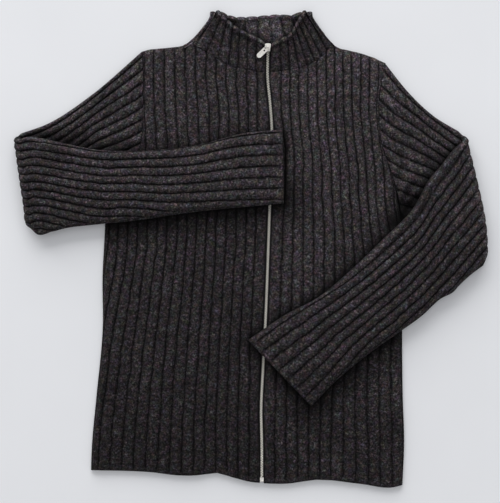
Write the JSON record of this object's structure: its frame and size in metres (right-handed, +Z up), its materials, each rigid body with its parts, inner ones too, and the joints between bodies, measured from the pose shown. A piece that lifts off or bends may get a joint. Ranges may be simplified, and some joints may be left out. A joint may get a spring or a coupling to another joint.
{
  "type": "ribbed zip cardigan laid flat with folded sleeves",
  "caption": "Chunky rib-knit cardigan with a funnel collar and a full metal zip, laid flat with both sleeves folded over the front.",
  "frame": {"origin": "middle of the bounding box, on the surface that the garment lies on", "axes": "+X towards the wearer's left, +Y from the hem to the collar, +Z up off the surface"},
  "size_m": [0.7103, 0.7159, 0.0184],
  "materials": {
    "wool_knit": "dark charcoal marl wool, chunky rib knit, matt and hairy",
    "zip_metal": "nickel-plated teeth on a dark woven tape",
    "zip_fittings": "cast, tumbled and nickel-plated slider, pull and bottom box"
  },
  "bodies": {
    "garment": {"back": "wool_knit", "front_right": "wool_knit", "front_left": "wool_knit", "sleeve_right": "wool_knit", "sleeve_left": "wool_knit", "collar": "wool_knit", "zip": "zip_metal", "zip_slider": "zip_fittings", "zip_box": "zip_fittings"},
    "pull_tab": {"zip_pull": "zip_fittings"}
  },
  "joints": [
    {"name": "pull_swing", "type": "hinge", "parent": "garment", "child": "pull_tab", "pos_m": [0.026, 0.3018, 0.01293], "axis": [-0.682, 0.7314, 0], "range_deg": [0, 150]}
  ]
}
